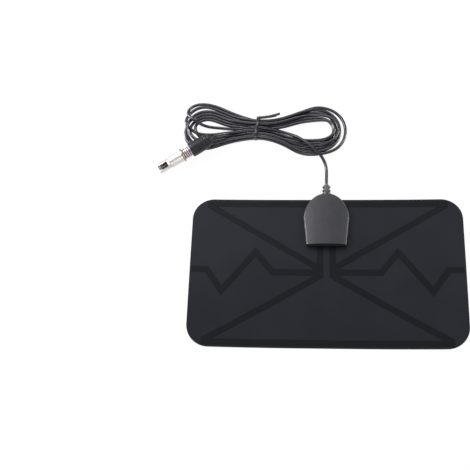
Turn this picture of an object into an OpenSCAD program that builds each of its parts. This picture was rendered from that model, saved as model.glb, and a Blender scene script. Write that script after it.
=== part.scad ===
// Flat indoor television aerial: a laminated film with a foil conductor, a feed pod
// clamped over its top edge, and a thin coaxial lead in a tied hank with its plug.
// Origin: middle of the film and pod seen from above, at the height of the pod's back.
// X runs along the film's long side, Y towards the lead, Z up out of the film's face.

/* [Film] */
// Width of the film
film_w = 240; // [230:1:280]
// Height of the film
film_h = 134; // [124:1:170]
// Radius of the film's corners
film_corner_r = 19; // [4:1:24]
// Thickness of the printed front sheet
front_film_t = 0.25; // [0.15:0.05:0.5]
// Thickness of the back sheet
back_film_t = 0.25; // [0.15:0.05:0.5]
// Thickness of the foil between the sheets
foil_t = 0.1; // [0.05:0.05:0.2]

/* [Conductor] */
// Width of every foil strip
trace_w = 5; // [3:0.5:6]
// Clear distance between the two feed strips
feed_gap = 6; // [4:0.5:8]
// Foil kept back from the film's edge
foil_margin = 2; // [1:0.5:5]
// Where the rails end, from the middle of the film
rail_reach = 107; // [90:1:108]
// Where the level inner arm of the zigzag ends
arm_reach = 47.5; // [40:0.5:54]
// Peak of the zigzag, from the middle of the film
peak_reach = 62.5; // [58:0.5:70]
// Height of the zigzag's peak above the arm
peak_rise = 18.3; // [10:0.1:22]
// Valley of the zigzag, from the middle of the film
valley_reach = 91.5; // [80:0.5:95]
// Depth of the zigzag's valley below the arm
valley_drop = 17; // [10:0.1:22]
// Start of the level outer arm
outer_reach = 105; // [100:0.5:110]

/* [Pod] */
// Width of the pod where it is widest
pod_w = 40; // [36:0.5:48]
// Width of the pod's straight lower end
pod_foot_w = 35; // [30:0.5:36]
// Length from the straight end to the widest line
pod_side_l = 25.6; // [22:0.2:32]
// Length from the widest line to the top of the dome
pod_dome_l = 22.5; // [19:0.5:26]
// How far the dome stands out past the film's top edge
pod_overhang = 4; // [2:0.5:6]
// Height of the cover above the film
cover_h = 5.5; // [5:0.1:8]
// Thickness of the back plate
base_t = 1.4; // [1:0.1:2.5]
// Wall of the cover
pod_wall = 1.2; // [0.8:0.1:1.6]
// Bevel along the cover's upper edge
pod_bevel = 1.5; // [0.5:0.1:1.8]
// Bevel along the back plate's lower edge
base_bevel = 0.4; // [0.2:0.1:0.6]
// Radius of the short neck that the lead comes out of
neck_r = 3.75; // [3.3:0.05:4]
// Length of the neck past the dome
neck_l = 1.3; // [0.8:0.1:3]
// Radius of the posts that hold the pod together
post_r = 1.3; // [1:0.1:1.6]
// Wall of the socket round each post
socket_wall = 1; // [0.8:0.1:1.4]
// Post centres, sideways from the middle
post_x = 13; // [11.5:0.5:13.5]
// Lower post centres, above the straight end
post_low = 4.6; // [4:0.2:6]
// Upper post centres, above the straight end
post_high = 33; // [30:0.5:34]

/* [Feed] */
// Width of the matching board
board_w = 18; // [16:0.5:19]
// Length of the matching board
board_l = 25; // [22:0.5:27]
// Thickness of the board
board_t = 1; // [0.8:0.1:1.6]
// Board's near edge above the pod's straight end
board_low = 8.5; // [7:0.5:10]
// Radius of the contact rivets' shanks
rivet_r = 1; // [0.8:0.1:1.2]
// Radius of the contact rivets' heads
rivet_head_r = 1.8; // [1.4:0.1:2.2]
// Thickness of the contact rivets' heads
rivet_head_t = 0.4; // [0.3:0.05:0.6]
// Outer radius of the ring core
core_r = 4; // [3:0.1:4.5]
// Radius of the hole in the ring core
core_hole_r = 2; // [1.6:0.1:2.4]
// Height of the ring core
core_h = 2; // [1.2:0.1:2.2]
// Thickness of the winding wire
wire_t = 0.35; // [0.2:0.05:0.4]
// Turns in each half of the winding
winding_turns = 5; // [3:1:6]
// Length of a chip component
chip_l = 2; // [1.6:0.1:2.4]
// Width of a chip component
chip_w = 1.25; // [0.8:0.05:1.6]
// Height of a chip component
chip_h = 0.8; // [0.5:0.05:1.2]
// Radius of a solder joint
solder_r = 1.1; // [0.8:0.1:1.3]

/* [Lead] */
// Diameter of the coaxial lead
cable_d = 2.9; // [2.4:0.1:3.4]
// Diameter of the lead's inner insulation
dielectric_d = 1.5; // [1.2:0.1:1.8]
// Diameter of the centre conductor
conductor_d = 0.5; // [0.3:0.1:0.6]
// Length of the strain relief past the neck
relief_l = 8.4; // [6:0.2:14]
// Radius of the strain relief's first rib
relief_rib_r = 3.7; // [3.2:0.05:4]
// Thickness of a rib
rib_t = 2.1; // [1.4:0.1:2.4]
// Distance from one rib to the next
rib_pitch = 3.6; // [3:0.1:4]
// Width of the spine that joins the ribs
spine_w = 3.2; // [2:0.1:4]

/* [Hank] */
// Height of the loops as they lie
hank_h = 5.2; // [4:0.1:8]
// Height of the gathered waist
waist_h = 8.7; // [7:0.1:12]
// Half the width of the gathered waist
waist_r = 11.7; // [10:0.1:14]
// Half the width of the larger loop
right_loop_r = 26.4; // [22:0.2:30]
// Half the width of the smaller loop
left_loop_r = 24.6; // [22:0.2:28]
// Width of the twist tie's strip
tie_w = 2.4; // [2:0.1:4]
// Thickness of the twist tie's strip
tie_t = 0.8; // [0.5:0.1:1.2]
// Length of the tie's twisted ends
tie_tail_l = 15; // [8:1:20]

/* [Plug] */
// Outer radius of the slotted shell
shell_r = 4.75; // [4.5:0.05:5]
// Wall of the slotted shell
shell_wall = 0.6; // [0.4:0.05:0.8]
// Length of the shell past the body
shell_l = 12; // [9:0.5:14]
// Width of the slot in the shell
slot_w = 3.4; // [1:0.2:4]
// Length of the slot in the shell
slot_l = 11; // [6:0.5:12]
// Outer radius of the body
body_r = 5.25; // [5:0.05:5.6]
// Length of the body's plain barrel
barrel_l = 12.5; // [9:0.5:15]
// Radius of the collar
collar_r = 6.2; // [5.8:0.1:6.4]
// Thickness of the collar
collar_t = 2; // [1:0.1:3]
// Length of the grooved neck between collar and boot
groove_neck_l = 7.5; // [6:0.1:9]
// Radius of the contact pin
pin_r = 1.2; // [1:0.05:1.3]
// Radius of the boot at its face
boot_r = 6.7; // [6:0.1:7]
// Length of the boot
boot_l = 23.5; // [22:0.5:26]

/* [Hidden] */
$fn = 64;

// Fits
fit = 0.1;         // between plastic pieces
hole_fit = 0.05;   // round a pin or rivet in its hole
eps = 0.01;        // lets a cut run past a face

// Plan
object_l = film_h + pod_overhang + neck_l + relief_l;
film_low = -object_l / 2;
film_top_y = film_low + film_h;
film_y = film_low + film_h / 2;
dome_y = film_top_y + pod_overhang;
widest_y = dome_y - pod_dome_l;
foot_y = widest_y - pod_side_l;
neck_y = dome_y + neck_l;
relief_y = neck_y + relief_l;

// Levels
foil_z = base_t + back_film_t;
front_z = foil_z + front_film_t;
ridge_z = front_z + foil_t;
cover_z = ridge_z + cover_h;
ceiling_z = cover_z - pod_wall;
board_z = ridge_z + board_t;
cable_r = cable_d / 2;
cable_z = max(cover_z / 2, board_z + dielectric_d / 2);

// Conductor
feed_x = (feed_gap + trace_w) / 2;
feed_top = foot_y + board_low + 6;
arm_y = film_y - 1.3;
outer_y = arm_y + 1.8;
rail_y = film_h / 2 - foil_margin - trace_w / 2;
top_rail_x = 14;

// Mitred outline of a strip along a path
function unit(v) = v / norm(v);
function left_of(v) = [-v[1], v[0]];
function mitre(p, i, w) =
    let (last = len(p) - 1,
         a = left_of(unit(p[max(i, 1)] - p[max(i, 1) - 1])),
         b = left_of(unit(p[min(i, last - 1) + 1] - p[min(i, last - 1)])))
    (a + b) / (1 + a * b) * w / 2;
function strip(p, w) = concat(
    [for (i = [0:len(p) - 1]) p[i] + mitre(p, i, w)],
    [for (i = [len(p) - 1:-1:0]) p[i] - mitre(p, i, w)]);

// Slab in the foil's plan from low to high, with grow added all round it
module trace_slab(low, high, grow) {
    w = trace_w + 2 * grow;
    end_x = film_w / 2 - foil_margin + grow;
    zigzag = [[feed_x, arm_y], [arm_reach, arm_y], [peak_reach, arm_y + peak_rise],
        [valley_reach, arm_y - valley_drop], [outer_reach, outer_y], [end_x, outer_y]];
    translate([0, 0, low]) {
        for (m = [0, 1]) mirror([m, 0, 0]) {
            translate([feed_x - w / 2, arm_y - trace_w, 0])
                cube([w, feed_top + grow - arm_y + trace_w, high - low]);
            linear_extrude(high - low) polygon(strip(zigzag, w));
            for (side = [1, -1])
                linear_extrude(high - low) polygon(diagonal(side, w, rail_reach + grow));
            translate([top_rail_x, film_y + rail_y - w / 2, 0])
                cube([rail_reach - top_rail_x + grow, w, high - low]);
        }
        translate([-rail_reach - grow, film_y - rail_y - w / 2, 0])
            cube([2 * (rail_reach + grow), w, high - low]);
    }
}

// Outline of one arm of the cross, cut square where its rail ends
function diagonal(side, w, end_x) =
    let (start = [feed_x, arm_y + side * 3],
         finish = [rail_reach, film_y + side * (rail_y - trace_w / 10)],
         u = unit(finish - start),
         edges = [for (e = [1, -1]) start + left_of(u) * e * w / 2])
    [edges[0], edges[1], for (e = [edges[1], edges[0]]) e + u * (end_x - e[0]) / u[0]];

module film_plan() {
    translate([-film_w / 2 + film_corner_r, film_low])
        square([film_w - 2 * film_corner_r, film_h]);
    translate([-film_w / 2, film_low + film_corner_r])
        square([film_w, film_h - 2 * film_corner_r]);
    for (x = [-1, 1], y = [-1, 1])
        translate([x * (film_w / 2 - film_corner_r), film_y + y * (film_h / 2 - film_corner_r)])
            circle(film_corner_r);
}

// Places of the pod's posts and of the rivets
module at_posts() {
    for (x = [-1, 1], y = [post_low, post_high])
        translate([x * post_x, foot_y + y, 0]) children();
}
module at_rivets() {
    for (x = [-1, 1]) translate([x * feed_x, foot_y + board_low + 2.5, 0]) children();
}
module film_holes(low, high) {
    at_posts() translate([0, 0, low]) cylinder(r = post_r + hole_fit, h = high - low);
    at_rivets() translate([0, 0, low]) cylinder(r = rivet_r + hole_fit / 2, h = high - low);
}

module front_film() {
    color([0.17, 0.17, 0.19]) difference() {
        union() {
            translate([0, 0, foil_z]) linear_extrude(front_film_t) film_plan();
            trace_slab(foil_z, ridge_z, front_film_t);
        }
        trace_slab(foil_z - eps, foil_z + foil_t, 0);
        film_holes(foil_z - 1, ridge_z + 1);
    }
}

module antenna_element() {
    color([0.78, 0.52, 0.3]) difference() {
        trace_slab(foil_z, foil_z + foil_t, 0);
        film_holes(foil_z - 1, ridge_z + 1);
    }
}

module back_film() {
    color([0.12, 0.12, 0.13]) difference() {
        translate([0, 0, base_t]) linear_extrude(back_film_t) film_plan();
        film_holes(base_t - 1, foil_z + 1);
    }
}

// Plan of the pod, drawn in by inset along its sides and dome
dome_steps = 28;
function pod_plan(inset, foot_inset) = concat(
    [[-(pod_foot_w / 2 - inset), foot_y + foot_inset], [pod_foot_w / 2 - inset, foot_y + foot_inset]],
    [for (i = [0:dome_steps]) let (a = 180 * i / dome_steps)
        [(pod_w / 2 - inset) * cos(a), widest_y + (pod_dome_l - inset) * sin(a)]]);

module pod_block(low, high, inset, foot_inset, bevel) {
    hull() {
        translate([0, 0, low]) linear_extrude(high - low - bevel) polygon(pod_plan(inset, foot_inset));
        translate([0, 0, low]) linear_extrude(high - low)
            polygon(pod_plan(inset + bevel, foot_inset));
    }
}

// Round neck along the lead's axis, from inside the dome to its own end
module neck_rod(r, from_y, to_y) {
    translate([0, from_y, cable_z]) rotate([-90, 0, 0]) cylinder(r = r, h = to_y - from_y);
}

relief_bore_r = 2.3;
flange_w = 7;
flange_t = 1.3;
flange_y = dome_y - pod_wall - 1.1;
sink = 0.3;

module pod_cover() {
    color([0.32, 0.32, 0.34]) difference() {
        union() {
            pod_block(ridge_z, cover_z, 0, 0, pod_bevel);
            intersection() {
                neck_rod(neck_r, dome_y - 4, neck_y);
                translate([-pod_w, dome_y - 4, ridge_z]) cube([2 * pod_w, 20, cover_h]);
            }
        }
        difference() {
            pod_block(ridge_z - eps, ceiling_z, pod_wall, pod_wall, pod_bevel);
            at_posts() translate([0, 0, ridge_z - 1])
                cylinder(r = post_r + socket_wall, h = cover_h + 2);
        }
        at_posts() translate([0, 0, ridge_z - eps])
            cylinder(r = post_r + hole_fit, h = ceiling_z - ridge_z - sink);
        neck_rod(relief_bore_r + fit, dome_y - 5, neck_y + 1);
    }
}

module pod_base() {
    lip_y = film_top_y + 0.3;
    color([0.25, 0.25, 0.27]) difference() {
        union() {
            mirror([0, 0, 1]) pod_block(-base_t, 0, 0, 0, base_bevel);
            intersection() {
                translate([0, 0, base_t - eps]) linear_extrude(ridge_z - base_t + eps)
                    polygon(pod_plan(0, 0));
                translate([-pod_w, lip_y, 0]) cube([2 * pod_w, 20, ridge_z]);
            }
            intersection() {
                neck_rod(neck_r, dome_y - 3, neck_y);
                translate([-pod_w, dome_y - 3, 0]) cube([2 * pod_w, 20, ridge_z]);
            }
            at_posts() translate([0, 0, base_t - eps])
                cylinder(r = post_r, h = ceiling_z - base_t - 2 * sink);
        }
        at_rivets() translate([0, 0, base_t - rivet_head_t - fit])
            cylinder(r = rivet_head_r + fit, h = rivet_head_t + 1);
        neck_rod(relief_bore_r + fit, dome_y - 5, neck_y + 1);
    }
}

module circuit_board() {
    color([0.1, 0.38, 0.2]) difference() {
        translate([-board_w / 2, foot_y + board_low, ridge_z]) cube([board_w, board_l, board_t]);
        at_rivets() translate([0, 0, ridge_z - 1])
            cylinder(r = rivet_r + hole_fit / 2, h = board_t + 2);
    }
}

module contact_rivets() {
    color([0.8, 0.66, 0.35]) at_rivets() {
        translate([0, 0, base_t - rivet_head_t]) cylinder(r = rivet_head_r, h = rivet_head_t);
        translate([0, 0, base_t - eps]) cylinder(r = rivet_r, h = board_z - base_t + 2 * eps);
        translate([0, 0, board_z]) cylinder(r1 = rivet_head_r, r2 = rivet_head_r * 0.7, h = rivet_head_t);
    }
}

// Ring core and its winding, clear of the rivets
core_y = foot_y + board_low + 11.5;
core_z = board_z + wire_t + hole_fit;

module balun_core() {
    color([0.28, 0.27, 0.26]) translate([0, core_y, core_z]) difference() {
        cylinder(r = core_r, h = core_h);
        translate([0, 0, -1]) cylinder(r = core_hole_r, h = core_h + 2);
    }
}

module winding_turn() {
    reach = core_r - core_hole_r + 2 * hole_fit;
    tall = core_h + 2 * hole_fit;
    translate([core_hole_r - hole_fit, 0, -hole_fit]) difference() {
        translate([-wire_t, -wire_t / 2, -wire_t]) cube([reach + 2 * wire_t, wire_t, tall + 2 * wire_t]);
        translate([0, -wire_t, 0]) cube([reach, 2 * wire_t, tall]);
    }
}

module balun_windings() {
    step = 20;
    color([0.7, 0.35, 0.15]) translate([0, core_y, core_z])
        for (half = [0, 180], i = [0:winding_turns - 1])
            rotate([0, 0, half + (i - (winding_turns - 1) / 2) * step]) winding_turn();
}

module chip_components() {
    cap = 0.35;
    color([0.62, 0.55, 0.45]) for (p = [[-6.5, 17.5], [6.5, 17.5], [-6.5, 21]])
        translate([p[0] - chip_l / 2, foot_y + board_low + p[1], board_z]) {
            translate([0, 0.05, 0]) cube([chip_l, chip_w - 0.1, chip_h - 0.05]);
            for (x = [0, chip_l - cap]) translate([x, 0, 0]) cube([cap, chip_w, chip_h]);
        }
}

// Stripped end of the lead on the board
board_end_y = foot_y + board_low + board_l;
jacket_y = board_end_y + 1.2;
core_end_y = board_end_y - 4;
tip_y = core_end_y - 2.5;
ground_p = [4.6, board_end_y - 2.6];

module lead_core(d, from_y, to_y) {
    translate([0, from_y, cable_z]) rotate([-90, 0, 0]) cylinder(d = d, h = to_y - from_y);
}

module cable_entry() {
    color([0.13, 0.13, 0.14]) lead_core(cable_d, jacket_y, relief_y);
}

module coax_dielectric() {
    color([0.92, 0.92, 0.9]) difference() {
        lead_core(dielectric_d, core_end_y, jacket_y);
        lead_core(conductor_d, core_end_y - 1, core_end_y + 2);
    }
}

module coax_conductor() {
    color([0.75, 0.5, 0.3]) lead_core(conductor_d, tip_y, core_end_y + 2);
}

braid_r = 0.45;
function braid_path() = [[1.22, jacket_y - 0.45, cable_z], [2, jacket_y - 0.9, cable_z],
    [3.4, board_end_y - 1, cable_z], [4.2, board_end_y - 1.6, board_z + 0.9],
    [ground_p[0], ground_p[1], board_z + braid_r + 0.05]];

module coax_braid() {
    color([0.72, 0.68, 0.6]) {
        difference() {
            lead_core(cable_d - 0.5, jacket_y - 0.9, jacket_y);
            lead_core(dielectric_d + 0.04, jacket_y - 2, jacket_y + 1);
        }
        tube(braid_path(), braid_r);
    }
}

module solder_dome(r) {
    intersection() {
        sphere(r);
        translate([-r, -r, 0]) cube(2 * r);
    }
}

module solder_joints() {
    color([0.75, 0.76, 0.78]) {
        difference() {
            translate([0, tip_y + 0.6, board_z]) solder_dome(solder_r);
            lead_core(conductor_d + 0.02, tip_y - eps, core_end_y);
        }
        difference() {
            translate([ground_p[0], ground_p[1] - 0.5, board_z]) solder_dome(solder_r);
            tube(braid_path(), braid_r + 0.03);
        }
    }
}

// Strain relief: a sleeve with ribs that a flat spine joins, held by its flange
module relief_profile() {
    start = neck_y + fit;
    rib_r2 = relief_rib_r - 0.15;
    soft = 0.5;
    rib1 = start + 1.5;
    rib2 = rib1 + rib_pitch;
    polygon([[cable_r + hole_fit / 2, start], [relief_bore_r + 0.3, start], [relief_bore_r, rib1],
        [relief_rib_r - soft, rib1], [relief_rib_r, rib1 + soft], [relief_rib_r, rib1 + rib_t - soft],
        [relief_rib_r - soft, rib1 + rib_t], [relief_bore_r, rib1 + rib_t], [relief_bore_r, rib2],
        [rib_r2 - soft, rib2], [rib_r2, rib2 + soft], [rib_r2, rib2 + rib_t - soft],
        [rib_r2 - soft, rib2 + rib_t], [relief_bore_r, rib2 + rib_t],
        [relief_bore_r - 0.3, relief_y], [cable_r + hole_fit / 2, relief_y]]);
}

module strain_relief() {
    color([0.3, 0.3, 0.32]) difference() {
        union() {
            translate([0, 0, cable_z]) rotate([-90, 0, 0]) rotate_extrude() relief_profile();
            neck_rod(relief_bore_r, flange_y, neck_y + fit + eps);
            translate([-flange_w / 2, flange_y - flange_t, ridge_z + fit])
                cube([flange_w, flange_t, 2 * (cable_z - ridge_z - fit)]);
            intersection() {
                translate([-spine_w / 2, neck_y + fit, 0]) cube([spine_w, relief_l - 1.2, cover_z]);
                neck_rod(relief_rib_r - 0.3, neck_y, relief_y);
            }
        }
        neck_rod(cable_r + hole_fit / 2, flange_y - flange_t - 1, relief_y + 1);
    }
}

// Tube swept along a list of points
function along(p, i) = unit(p[min(i + 1, len(p) - 1)] - p[max(i - 1, 0)]);
function ring_point(p, i, r, a) =
    let (t = along(p, i), s = unit(cross(t, [0, 0, 1])), u = cross(s, t))
    p[i] + r * (cos(a) * s + sin(a) * u);
module tube(p, r, sides = 8) {
    n = len(p);
    polyhedron(
        points = [for (i = [0:n - 1], k = [0:sides - 1]) ring_point(p, i, r, 360 * (k + 0.5) / sides)],
        faces = concat(
            [[for (k = [sides - 1:-1:0]) k]],
            [for (i = [0:n - 2], k = [0:sides - 1])
                let (q = (k + 1) % sides)
                [i * sides + k, i * sides + q, (i + 1) * sides + q, (i + 1) * sides + k]],
            [[for (k = [0:sides - 1]) (n - 1) * sides + k]]));
}

// Route of the lead from the strain relief to the tied waist
waist_face_x = -53;
lead_route = [[0, relief_y, cable_z], [0, relief_y + 3, cable_z], [0, 81, 2.8], [0.2, 86, 1.8],
    [0, 91, 2.4], [-1, 96, 4.6], [-3.4, 101, 6.8], [-6.6, 105.2, 7], [-11, 109.6, 7],
    [-16, 113.6, 7], [-22, 117.2, 7], [-28, 120, 7], [-34, 122.6, 7], [-40, 125.4, 7],
    [-45, 127.6, 7], [waist_face_x + 4, 128.6, 7], [waist_face_x, 128.6, 7]];

module cable_lead() {
    color([0.14, 0.14, 0.15]) tube(lead_route, cable_r);
}

// Hank: two flat loops and the higher waist that the tie gathers
tie_p = [-64.5, 131.2];
right_p = [-7, 129.3];
left_p = [-109.6, 134.4];
waist_l = 2 * (waist_face_x - tie_p[0]);

module loop_plan(p, r) {
    hull() {
        translate(p) circle(r, $fn = 32);
        translate(tie_p) circle(waist_r, $fn = 32);
    }
}

module hank_plan() {
    difference() {
        union() {
            loop_plan(right_p, right_loop_r);
            loop_plan(left_p, left_loop_r);
        }
        hull() {
            translate([right_p[0] - 1.5, right_p[1] + 1.5]) circle(9, $fn = 24);
            translate([-50, right_p[1] + 3]) circle(0.8, $fn = 12);
        }
        hull() {
            translate([left_p[0] - 3, left_p[1] - 1.2]) circle(4.6, $fn = 24);
            translate([-86, 133.2]) circle(0.8, $fn = 12);
        }
    }
}

module cable_hank() {
    color([0.16, 0.16, 0.17]) difference() {
        union() {
            linear_extrude(hank_h) hank_plan();
            translate([tie_p[0] - waist_l / 2, tie_p[1] - waist_r, 0])
                cube([waist_l, 2 * waist_r, waist_h]);
        }
        tie_band(2 * tie_t);
        plug_place() boot_seat();
    }
}

// Band of the tie, thick outside the strands that it gathers
module tie_band(thick) {
    translate([tie_p[0] - tie_w / 2, tie_p[1], 0]) difference() {
        translate([0, -waist_r - thick, tie_t - thick])
            cube([tie_w, 2 * (waist_r + thick), waist_h - tie_t + 2 * thick]);
        translate([-1, -waist_r, tie_t]) cube([tie_w + 2, 2 * waist_r, waist_h - tie_t]);
    }
}

// One of the tie's two ends, wound round the other
tie_end_r = 0.55;
tail_turns = 3;
function tail_wire(start) = [for (i = [0:6 * tail_turns])
    let (a = start + 60 * i)
    [tie_tail_l * i / (6 * tail_turns), 0.45 * cos(a), 0.45 * sin(a)]];

module twist_tie() {
    side_y = tie_p[1] + waist_r;
    knot_z = hank_h + 2 * tie_end_r + 0.3;
    color([0.08, 0.08, 0.09]) {
        tie_band(tie_t);
        translate([tie_p[0] - tie_w / 2, side_y + tie_t - eps, knot_z - 1.2]) cube([tie_w, 1.6, 2.4]);
        translate([tie_p[0], side_y + tie_t + 0.6, knot_z]) rotate([0, 0, 12]) {
            tube(tail_wire(0), tie_end_r, 6);
            tube(tail_wire(180), tie_end_r, 6);
        }
    }
}

// Plug, drawn along +Z with its open end at zero and its boot behind
plug_tip = [-154.2, 89.9, shell_r];
plug_turn = 30.5;
plug_rise = 6;
body_z = -shell_l;
collar_z = body_z - barrel_l;
neck_z = collar_z - collar_t;
boot_z = neck_z - groove_neck_l;
rear_z = boot_z - boot_l;
module plug_place() {
    translate(plug_tip) rotate([0, -90 - plug_rise, plug_turn]) children();
}

shell_root = 4;
root_r = shell_r - 0.25;
insulator_z = body_z + 2.5;
shank_r = pin_r - 0.3;
spigot_l = 5;
spigot_r = 3.6;

module plug_shell() {
    color([0.78, 0.76, 0.72]) plug_place() difference() {
        union() {
            translate([0, 0, body_z]) cylinder(r = shell_r, h = shell_l);
            translate([0, 0, body_z - shell_root]) cylinder(r = root_r, h = shell_root + eps);
        }
        translate([0, 0, body_z - shell_root - 1])
            cylinder(r = shell_r - shell_wall, h = shell_l + shell_root + 2);
        translate([0, -slot_w / 2, -slot_l]) cube([shell_r + 1, slot_w, slot_l + 1]);
    }
}

module plug_body() {
    groove = 0.5;
    color([0.8, 0.78, 0.74]) plug_place() difference() {
        rotate_extrude() polygon(concat(
            [[0, body_z], [body_r - 0.3, body_z], [body_r, body_z - 0.3], [body_r, collar_z + 0.01],
             [collar_r - 0.3, collar_z], [collar_r, collar_z - 0.3], [collar_r, neck_z + 0.3],
             [collar_r - 0.3, neck_z]],
            [for (i = [0:3], q = [[0, 0], [0.15, groove], [0.5, groove], [0.65, 0]])
                [body_r - 0.2 - q[1], neck_z - (i + q[0]) * groove_neck_l / 4]],
            [[body_r - 0.2, boot_z], [spigot_r, boot_z], [spigot_r, boot_z - spigot_l],
             [0, boot_z - spigot_l]]));
        translate([0, 0, body_z - shell_root - fit]) cylinder(r = root_r, h = shell_root + 1);
        translate([0, 0, body_z - barrel_l]) cylinder(r = shank_r + hole_fit, h = barrel_l);
    }
}

module plug_insulator() {
    color([0.93, 0.92, 0.88]) plug_place() difference() {
        translate([0, 0, body_z - shell_root - fit])
            cylinder(r = shell_r - shell_wall - hole_fit / 2, h = insulator_z - body_z + shell_root + fit);
        translate([0, 0, body_z - shell_root - 1]) cylinder(r = shank_r + hole_fit / 2, h = shell_l);
    }
}

module plug_pin() {
    color([0.82, 0.78, 0.66]) plug_place() {
        translate([0, 0, body_z - barrel_l + 1])
            cylinder(r = shank_r, h = insulator_z - body_z + barrel_l - 1);
        translate([0, 0, insulator_z]) cylinder(r = pin_r, h = -insulator_z - 1 - pin_r);
        translate([0, 0, -1 - pin_r]) sphere(pin_r);
    }
}

// Boot: tapered grip with two ribs towards the lead
function boot_profile() = [
    [boot_r - 0.4, 0], [boot_r, -0.4], [boot_r, -3], [boot_r - 1.4, -14.5],
    [boot_r - 2.2, -14.5], [boot_r - 2.2, -15.7], [boot_r - 1.5, -15.7], [boot_r - 1.6, -17.9],
    [boot_r - 2.6, -17.9], [boot_r - 2.6, -19], [boot_r - 2.1, -19], [boot_r - 2.3, -21],
    [boot_r - 3.3, -21], [boot_r - 4.2, -boot_l]];

module plug_boot() {
    color([0.15, 0.15, 0.16]) plug_place() translate([0, 0, boot_z]) difference() {
        rotate_extrude() polygon(concat([[0, 0]], boot_profile(), [[0, -boot_l]]));
        translate([0, 0, -spigot_l]) cylinder(r = spigot_r, h = spigot_l + 1);
    }
}

// Room for the boot in the loops, closed behind its small end
module boot_seat() {
    translate([0, 0, rear_z]) cylinder(r1 = boot_r - 2, r2 = boot_r + 0.7, h = boot_l + 1);
}

front_film();
antenna_element();
back_film();
pod_cover();
pod_base();
circuit_board();
contact_rivets();
balun_core();
balun_windings();
chip_components();
solder_joints();
strain_relief();
cable_entry();
coax_braid();
coax_dielectric();
coax_conductor();
cable_lead();
cable_hank();
twist_tie();
plug_boot();
plug_body();
plug_shell();
plug_insulator();
plug_pin();
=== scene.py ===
import math

import bmesh
import bpy
import numpy as np
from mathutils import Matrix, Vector


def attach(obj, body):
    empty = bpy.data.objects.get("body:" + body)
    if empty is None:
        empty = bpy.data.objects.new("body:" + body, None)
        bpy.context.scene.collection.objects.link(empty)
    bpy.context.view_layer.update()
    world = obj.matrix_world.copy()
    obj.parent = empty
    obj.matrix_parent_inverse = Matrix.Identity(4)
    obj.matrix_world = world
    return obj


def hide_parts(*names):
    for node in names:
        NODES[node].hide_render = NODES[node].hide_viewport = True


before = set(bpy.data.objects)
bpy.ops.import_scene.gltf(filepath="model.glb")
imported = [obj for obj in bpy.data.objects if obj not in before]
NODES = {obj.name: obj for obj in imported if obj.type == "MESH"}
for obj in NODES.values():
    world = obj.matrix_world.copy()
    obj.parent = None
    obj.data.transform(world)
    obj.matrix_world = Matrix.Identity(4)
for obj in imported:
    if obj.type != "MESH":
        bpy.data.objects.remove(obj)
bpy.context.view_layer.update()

# A flat film aerial seen from above: film with its foil pattern, feed pod, lead in a tied hank, plug.
# Lengths are in millimetres until they reach Blender.
MM = 0.001

# Lead and hank: the lead's size, the step between its points, and the height of a layer of turns
CABLE_D = 2.9
CABLE_R = CABLE_D / 2
STEP = 2.0
LAYER = 3.0
FOLD_R = 3 * CABLE_D

# How the lead settles: rounds, stiffness, pull to its drawn way, sinking and the tie's closing
SETTLE_ROUNDS = 420
IRON_ROUNDS = 180
STIFFNESS = 0.055
PULL_LEAD = 0.6
PULL_RIGHT = 0.35
PULL_TURNS = 0.12
SINK = 0.25
TIE_OPEN = 14
TIE_OPEN_H = 22
BOOT_DROP = 20.0

# Which points count as neighbours, how many are held at either end, and how many run in the boot
NEAR = CABLE_D + 3.5
ENDS = 4
IN_BOOT = 20

# Twist tie: its place, its hoop, the waist that it pulls in, and its two ends
TIE_AT = (-64.5, 131.2)
TIE_W = 2.4
TIE_T = 0.8
TIE_SLANT = 1.3
HOOP_HALF = 10.9
HOOP_T = 0.6
HOOP_CORNER = 2.6
RIPPLE = 0.25
WAIST_HALF = 9.0
WAIST_H = 8.7
PRESSED = 3
TAIL_FROM = (1.0, -0.8, 7.0)
TAIL_LENGTHS = (20.5, 17.0)
TAIL_WOUND = 10.5
TAIL_TURNS = 2.5
TAIL_W = 2.2
TAIL_T = 1.0
TAIL_DROP = 0.025

# Plug: the place of its tip, how its axis turns and rises, its slot in degrees, and its boot
PLUG_TIP = (-154.2, 89.9, 4.75)
PLUG_TURN = 30.5
PLUG_RISE = 6.0
SLOT_L = 11.0
SLOT_HALF = 20.5
SLOT_HALF_SEEN = 32
SLOT_TURN = 22
SLOT_LONGER = 0.8
BOOT_FACE = 34.0
BOOT_L = 23.5
BOOT_R = 6.9
BOOT_END_R = 4.2
BOOT_BORE_R = 4.0
GRIP_MORE = 1.1

# Film and pod: their outlines, the lie of the film and the cover's top
FILM_HALF = 120.0
RIDGE_Z = 1.95
POD_HALF = 20.0
POD_FOOT_Y = 16.05
POD_TOP_Z = 7.5
FILM_LOW_Y = -73.85
FILM_TOP_Y = 60.15
CURL_TOP = 2.0
CURL_LOW = 4.9
SAG = 1.2
STRETCH = 1.8
FLAT_SIDE = 2.0
FLAT_FOOT = 4.0
POD_WIDEST_Y = 41.65
POD_CHAMFER = 1.5
TOP_WIDER = 1.027
TOP_LONGER = 0.024
CHAMFER_LESS = 0.5
CROWN = 1.3

# Camera, as in the photograph
CAMERA_AT = (-3.8, -229.8, 694.0)
CAMERA_TURN = (20.36, 3.77, 1.52)
FOCAL_PX = 829.8
FRAME_PX = 470
SENSOR = 36.0
SHIFT = -0.06

# Lamps: name, place in metres, watts and size, all turned to one point
LAMPS = (("left_lamp", (-1.0, 0.45, 0.9), 18, 0.5), ("right_lamp", (1.1, 0.2, 0.8), 12, 0.5),
         ("top_lamp", (-0.2, 1.5, 1.5), 14, 0.9), ("front_lamp", (-0.3, -1.5, 0.6), 13, 1.2),
         ("low_left_lamp", (-1.2, 0.45, 0.16), 14, 0.3), ("low_right_lamp", (1.2, 0.45, 0.16), 8, 0.3))
LAMPS_AIM = (-0.02, 0.05, 0)
FLOOR_GLOW = 0.94


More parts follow.
